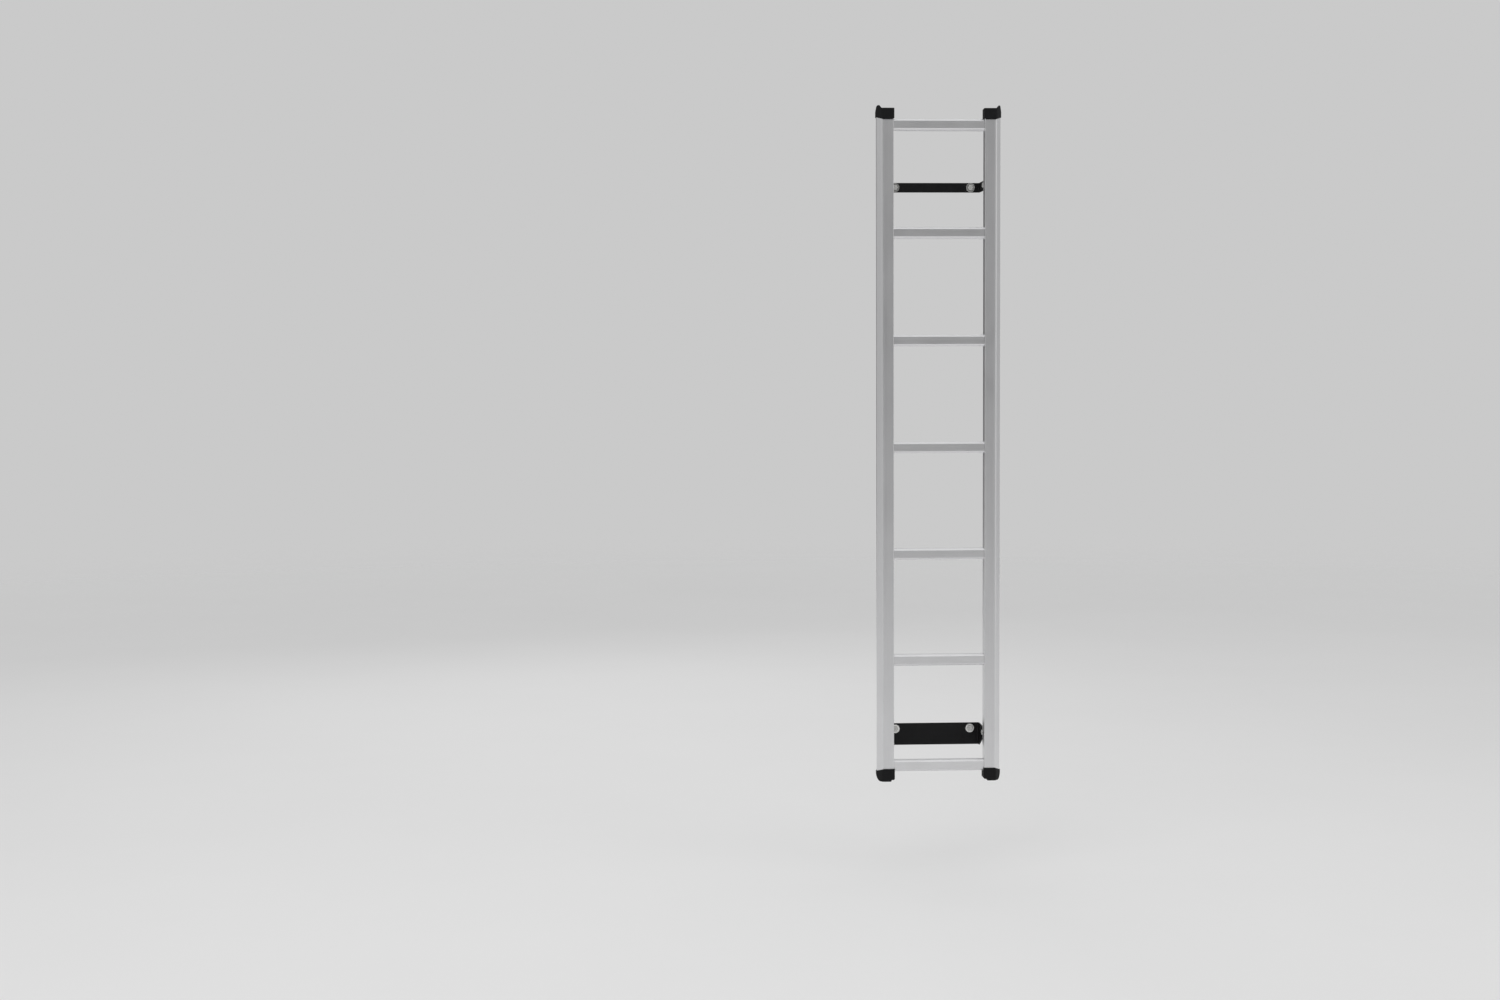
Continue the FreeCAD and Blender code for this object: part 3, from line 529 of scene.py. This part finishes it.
def skin(bm, lower, upper, slot=SMOOTH, smooth=True):
    """Faces between two loops of as many points."""
    count = len(lower)
    for k in range(count):
        face = bm.faces.new((lower[k], lower[(k + 1) % count], upper[(k + 1) % count], upper[k]))
        face.material_index = slot
        face.smooth = smooth


def lid(bm, loop, slot=SMOOTH):
    """One flat face on a loop."""
    bm.faces.new(loop).material_index = slot


def turned(bm, profile, sides=40, slot=SMOOTH, closed=False):
    """A solid of revolution from radii and heights, its ends closed by lids or joined into a ring."""
    loops = [ring(bm, radius, z, sides) for radius, z in profile]
    for lower, upper in zip(loops, loops[1:]):
        skin(bm, lower, upper, slot)
    if closed:
        skin(bm, loops[-1], loops[0], slot)
    else:
        lid(bm, list(reversed(loops[0])), slot)
        lid(bm, loops[-1], slot)


def hex_loop(bm, flats, end, inward, chamfer_from, sides):
    """Points round one end of a hexagon, set inwards where a cone has turned off its corners."""
    points = []
    for k in range(sides):
        angle = TURN * k / sides
        off = (angle % (TURN / 6)) - TURN / 12
        radius = flats / 2 / math.cos(off)
        drop = max(0.0, radius - chamfer_from) * math.tan(CHAMFER)
        points.append(bm.verts.new((radius * math.cos(angle), radius * math.sin(angle), end + inward * drop)))
    return points


def hexagon(bm, flats, low, high, chamfer_low, chamfer_high, sides=36):
    """A six-sided head or nut with one or both ends turned off."""
    round_from = flats * TURNED_OFF
    bottom = hex_loop(bm, flats, low, 1, round_from if chamfer_low else flats, sides)
    top = hex_loop(bm, flats, high, -1, round_from if chamfer_high else flats, sides)
    skin(bm, bottom, top, FORGED, smooth=False)
    if chamfer_low:
        outer, bottom = bottom, ring(bm, round_from, low, sides)
        skin(bm, bottom, outer, FORGED)
    if chamfer_high:
        outer, top = top, ring(bm, round_from, high, sides)
        skin(bm, outer, top, FORGED)
    lid(bm, list(reversed(bottom)), FORGED)
    lid(bm, top, FORGED)


def thread(bm, radius, pitch, start, end, sides=28):
    """A right-handed screw thread with flat crests and roots, its end turned down to a cone."""
    depth = pitch * THREAD_DEPTH
    tip = min(depth * 1.1, (end - start) / 4)
    rows = max(8, round((end - start) / pitch * ROWS_PER_THREAD))
    loops = []
    for row in range(rows + 1):
        z = start + (end - start) * row / rows
        taper = max(0.0, 1 - (end - z) / tip)
        loop = []
        for k in range(sides):
            phase = (z / pitch - k / sides) % 1.0
            crest = min(1.0, max(0.0, 1 + THREAD_CREST - THREAD_FLANK * abs(phase - 0.5)))
            reach = radius - depth * max(1 - crest, taper)
            angle = TURN * k / sides
            loop.append(bm.verts.new((reach * math.cos(angle), reach * math.sin(angle), z)))
        loops.append(loop)
    for lower, upper in zip(loops, loops[1:]):
        skin(bm, lower, upper)
    lid(bm, list(reversed(loops[0])))
    lid(bm, loops[-1])


def aim(origin, axis):
    """The place of a fastener that stands at a point, its Z along an axis."""
    turn = Vector(axis).to_track_quat("Z", "Y")
    return Matrix.Translation(Vector(origin)) @ turn.to_matrix().to_4x4()


def fasteners_for(node, materials, parts):
    """One object in a node's place, from several shapes that are each built on their own and then placed."""
    name = f"{node}_plated"
    whole = bmesh.new()
    for build, place in parts:
        one = bmesh.new()
        build(one)
        bmesh.ops.recalc_face_normals(one, faces=one.faces)
        one.transform(place)
        scratch = bpy.data.meshes.new("scratch")
        one.to_mesh(scratch)
        one.free()
        whole.from_mesh(scratch)
        bpy.data.meshes.remove(scratch)
    mesh = bpy.data.meshes.new(name)
    whole.to_mesh(mesh)
    whole.free()
    for material in materials:
        mesh.materials.append(material)
    piece = bpy.data.objects.new(name, mesh)
    bpy.context.scene.collection.objects.link(piece)
    split = piece.modifiers.new("Crisp edges", "EDGE_SPLIT")
    split.split_angle = math.radians(32)
    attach(piece, "root")
    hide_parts(node)


def settings():
    return bpy.context.scene.ladder


def zinc_finishes():
    """The finish of washers and threads, then that of heads and nuts."""
    colour = settings().metal.zinc_colour
    return [finish_once("Zinc plate, smooth", zinc, colour, 1.0),
            finish_once("Zinc plate, forged", zinc, colour, 0.2)]


# Operators, one for each group of pieces
class LADDER_OT_stiles(bpy.types.Operator):
    """Give the two stiles their drawn and anodised finish"""
    bl_idname = "ladder.stiles"
    bl_label = "Stiles"

    def execute(self, context):
        metal = settings().metal
        finish = finish_once("Anodised stile", aluminium, metal.stile_colour, metal.line_depth, "z")
        dress(("left_stile", "right_stile"), finish)
        return {"FINISHED"}


class LADDER_OT_rungs(bpy.types.Operator):
    """Give the rungs their drawn and anodised finish"""
    bl_idname = "ladder.rungs"
    bl_label = "Rungs"

    lip: bpy.props.FloatProperty(
        name="Lip", description="Height of the lip above and below a rung's front", unit="LENGTH",
        default=5.5 * MM)
    lean: bpy.props.FloatProperty(
        name="Lean", description="How strongly the two lips lean away from each other", default=0.45)

    def execute(self, context):
        metal = settings().metal
        first, second = (sum(corner[2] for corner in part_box(name)) / 2 for name in ("rung_1", "rung_2"))
        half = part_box("rung_1")[1][2] - first
        lips = (first, first - second, half - self.lip, self.lean)
        finish = finish_once("Anodised rung", aluminium, metal.rung_colour, metal.line_depth, "x", lips)
        dress([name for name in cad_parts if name.startswith("rung_")], finish)
        return {"FINISHED"}


class LADDER_OT_caps(bpy.types.Operator):
    """Give the end caps their moulded finish"""
    bl_idname = "ladder.caps"
    bl_label = "End caps"

    def execute(self, context):
        finish = finish_once("Moulded cap", plastic, settings().black.plastic_colour)
        dress([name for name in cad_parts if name.endswith("_cap")], finish)
        return {"FINISHED"}


class LADDER_OT_brackets(bpy.types.Operator):
    """Give the brackets and arms their powder coat"""
    bl_idname = "ladder.brackets"
    bl_label = "Brackets and arms"

    def execute(self, context):
        finish = finish_once("Powder coat", powder_coat, settings().black.coat_colour)
        for level in LEVELS:
            dress((f"{level}_door_bracket", f"{level}_arms"), finish)
        return {"FINISHED"}


class LADDER_OT_door_bolts(bpy.types.Operator):
    """Make the bolts and washers that hold the brackets to the door"""
    bl_idname = "ladder.door_bolts"
    bl_label = "Door bolts"

    def execute(self, context):
        size = settings().fasteners
        plating = zinc_finishes()
        for level in LEVELS:
            low, high = (Vector(corner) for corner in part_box(f"{level}_door_bolts"))
            seat = low.y + size.head_height + size.washer_height
            web = -seat
            half = high.x - size.washer_radius
            height = (low.z + high.z) / 2

            def build(bm):
                head = -size.washer_height
                hexagon(bm, size.head_flats, head - size.head_height, head, True, False)
                rim = 0.25 * MM
                turned(bm, [(size.washer_radius - rim, 0), (size.washer_radius, -rim),
                            (size.washer_radius, head + rim), (size.washer_radius - rim, head)], sides=56)
                turned(bm, [(size.shank_radius, 0), (size.shank_radius, web)])
                thread(bm, size.thread_radius, size.thread_pitch, web, high.y - seat)

            spots = [aim((x, seat, height), (0, 1, 0)) for x in (-half, half)]
            fasteners_for(f"{level}_door_bolts", plating, [(build, spot) for spot in spots])
        return {"FINISHED"}


class LADDER_OT_wing_bolts(bpy.types.Operator):
    """Make the bolts and lock nuts that join the arms to the brackets"""
    bl_idname = "ladder.wing_bolts"
    bl_label = "Wing bolts and nuts"

    splay: bpy.props.FloatProperty(
        name="Splay", description="How far the wings lean outwards",
        subtype="ANGLE", default=math.radians(5))
    grip: bpy.props.FloatProperty(
        name="Grip", description="Thickness of wing and arm together",
        unit="LENGTH", default=6 * MM)

    def execute(self, context):
        size = settings().fasteners
        plating = zinc_finishes()
        nylon_ring = finish_once("Nylon ring", nylon)
        top = size.nut_height
        shoulder = top * 0.74
        base = shoulder - 0.2 * MM
        outer = size.head_flats * COLLAR
        inner = outer - 1.2 * MM
        past_nut = 3 * MM
        length = self.grip + top + past_nut

        def bolt(bm):
            hexagon(bm, size.head_flats, -size.head_height, 0, True, False)
            turned(bm, [(size.shank_radius, 0), (size.shank_radius, self.grip)])
            thread(bm, size.thread_radius, size.thread_pitch, self.grip, length)

        def nut(bm):
            hexagon(bm, size.head_flats, 0, shoulder, True, True)
            turned(bm, [(outer, base), (outer, top - 1.0 * MM), (outer - 0.3 * MM, top - 0.35 * MM),
                        (outer - 1.0 * MM, top), (inner, top - 0.3 * MM), (inner, base)], closed=True)

        def insert(bm):
            bore = size.thread_radius
            foot = shoulder - 0.1 * MM
            turned(bm, [(inner, foot), (inner, top - 0.5 * MM), (bore + 0.2 * MM, top - 0.5 * MM),
                        (bore, top - 0.8 * MM), (bore, foot)], slot=NYLON, closed=True)

        for level in LEVELS:
            low, high = (Vector(corner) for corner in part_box(f"{level}_wing_bolts"))
            height = (low.z + high.z) / 2
            across, along = math.cos(self.splay), math.sin(self.splay)
            half = high.x - length * across - size.shank_radius * along
            depth = high.y - size.head_flats / 2 * across
            bolts = []
            nuts = []
            for side in (-1, 1):
                outward = (side * across, along, 0)
                spot = Vector((side * half, depth, height))
                seat = spot + Vector(outward) * self.grip
                bolts.append((bolt, aim(spot, outward)))
                nuts += [(nut, aim(seat, outward)), (insert, aim(seat, outward))]
            fasteners_for(f"{level}_wing_bolts", plating, bolts)
            fasteners_for(f"{level}_wing_nuts", [*plating, nylon_ring], nuts)
        return {"FINISHED"}


class LADDER_OT_stile_bolts(bpy.types.Operator):
    """Make the bolts that hold the arms to the backs of the stiles"""
    bl_idname = "ladder.stile_bolts"
    bl_label = "Stile bolts"

    grip: bpy.props.FloatProperty(
        name="Grip", description="Length of the plain shank, through the arm and the stile's wall",
        unit="LENGTH", default=4 * MM)

    def execute(self, context):
        size = settings().fasteners
        plating = zinc_finishes()
        for level in LEVELS:
            low, high = (Vector(corner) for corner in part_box(f"{level}_stile_bolts"))
            half = high.x - size.head_flats / 2 / math.cos(TURN / 12)
            seat = high.y - size.head_height
            height = (low.z + high.z) / 2

            def build(bm):
                hexagon(bm, size.head_flats, -size.head_height, 0, True, False)
                turned(bm, [(size.shank_radius, 0), (size.shank_radius, self.grip)])
                thread(bm, size.thread_radius, size.thread_pitch, self.grip, seat - low.y)

            spots = [aim((x, seat, height), (0, -1, 0)) for x in (-half, half)]
            fasteners_for(f"{level}_stile_bolts", plating, [(build, spot) for spot in spots])
        return {"FINISHED"}


class LADDER_OT_studio(bpy.types.Operator):
    """Set up the pale floor, the soft light and the camera"""
    bl_idname = "ladder.studio"
    bl_label = "Studio"

    def execute(self, context):
        studio = settings().studio
        self.make_floor(studio)
        self.make_world(studio)
        self.make_lamps()
        self.make_camera(studio)
        context.scene.view_settings.view_transform = "Standard"
        return {"FINISHED"}

    def make_floor(self, studio):
        bm = bmesh.new()
        corners = ((-1, -1), (1, -1), (1, 1), (-1, 1))
        bm.faces.new([bm.verts.new((x * FLOOR_HALF, y * FLOOR_HALF, studio.floor_level)) for x, y in corners])
        mesh = bpy.data.meshes.new("floor")
        bm.to_mesh(mesh)
        bm.free()
        mesh.materials.append(finish_once("Floor", floor_finish, studio.floor_colour))
        floor = bpy.data.objects.new("floor", mesh)
        bpy.context.scene.collection.objects.link(floor)

    def make_world(self, studio):
        world = bpy.data.worlds.new("Studio")
        world.use_nodes = True
        bpy.context.scene.world = world
        world.node_tree.nodes.clear()
        net = Net(world.node_tree)
        rays = net.node("LightPath").outputs
        plain = net.math("MAXIMUM", rays["Is Camera Ray"], rays["Is Transmission Ray"])
        seen = net.math("MAXIMUM", plain, rays["Is Glossy Ray"])
        level = self.between(net, plain, self.room(net, studio), studio.backdrop)
        shown = net.node("Background", {"Color": (1, 1, 1, 1), "Strength": level})
        light = net.node("Background", {"Color": (1, 1, 1, 1), "Strength": studio.daylight})
        mix = net.node("MixShader", {0: seen, 1: light.outputs[0], 2: shown.outputs[0]})
        net.node("OutputWorld", {"Surface": mix.outputs[0]})

    def room(self, net, studio):
        """What the metal mirrors: a bright ceiling, softer sides, and darker walls in front and behind."""
        toward = net.node("SeparateXYZ", {0: net.node("TexCoord").outputs["Generated"]}).outputs
        high = net.span(toward[2], *CEILING_EDGE)
        behind = net.span(toward[1], *BEHIND_EDGE)
        left = net.span(toward[0], *(-edge for edge in SIDE_EDGE), 0.0, studio.left_wall - studio.wall)
        right = net.span(toward[0], *SIDE_EDGE, 0.0, studio.right_wall - studio.wall)
        wall = net.math("ADD", studio.wall, net.math("ADD", left, right))
        return self.between(net, high, self.between(net, behind, wall, studio.shade), studio.ceiling)

    def between(self, net, share, first, second):
        """One brightness that goes over into another."""
        kept = net.math("MULTIPLY", first, net.math("SUBTRACT", 1.0, share))
        return net.math("ADD", kept, net.math("MULTIPLY", share, second))

    def make_lamps(self):
        for name, place, side, power in LAMPS:
            light = bpy.data.lights.new(name, "AREA")
            light.shape = "SQUARE"
            light.size = side
            light.energy = power
            lamp = bpy.data.objects.new(name, light)
            lamp.location = place
            lamp.rotation_euler = (LAMPS_AIM - Vector(place)).to_track_quat("-Z", "Y").to_euler()
            lamp.visible_camera = False
            lamp.visible_glossy = False
            bpy.context.scene.collection.objects.link(lamp)

    def make_camera(self, studio):
        data = bpy.data.cameras.new("camera")
        data.sensor_width = 36
        data.lens = studio.lens
        data.clip_end = 200
        camera = bpy.data.objects.new("camera", data)
        yaw, pitch, roll = studio.camera_turn
        look = Matrix.Rotation(yaw, 4, "Z") @ Matrix.Rotation(pitch, 4, "X") @ Matrix.Rotation(roll, 4, "Y")
        upright = Matrix.Rotation(math.pi / 2, 4, "X")
        camera.matrix_world = Matrix.Translation(studio.camera_place) @ look @ upright
        bpy.context.scene.collection.objects.link(camera)
        bpy.context.scene.camera = camera


class LADDER_PT_sidebar(bpy.types.Panel):
    """The ladder's pieces and settings"""
    bl_idname = "LADDER_PT_sidebar"
    bl_label = "Van Door Ladder"
    bl_space_type = "VIEW_3D"
    bl_region_type = "UI"
    bl_category = "Ladder"

    def draw(self, context):
        for step in OPERATORS:
            self.layout.operator(step.bl_idname)
        for part in (settings().metal, settings().black, settings().fasteners, settings().studio):
            column = self.layout.column()
            for name in part.__annotations__:
                column.prop(part, name)


OPERATORS = (LADDER_OT_stiles, LADDER_OT_rungs, LADDER_OT_caps, LADDER_OT_brackets, LADDER_OT_door_bolts,
             LADDER_OT_wing_bolts, LADDER_OT_stile_bolts, LADDER_OT_studio)
CLASSES = (LadderMetal, LadderBlack, LadderFasteners, LadderStudio, LadderSettings,
           *OPERATORS, LADDER_PT_sidebar)


def register():
    for thing in CLASSES:
        bpy.utils.register_class(thing)
    bpy.types.Scene.ladder = bpy.props.PointerProperty(type=LadderSettings)


def unregister():
    del bpy.types.Scene.ladder
    for thing in reversed(CLASSES):
        bpy.utils.unregister_class(thing)


def main():
    register()
    for step in OPERATORS:
        group, name = step.bl_idname.split(".")
        getattr(getattr(bpy.ops, group), name)()


if __name__ == "__main__":
    main()
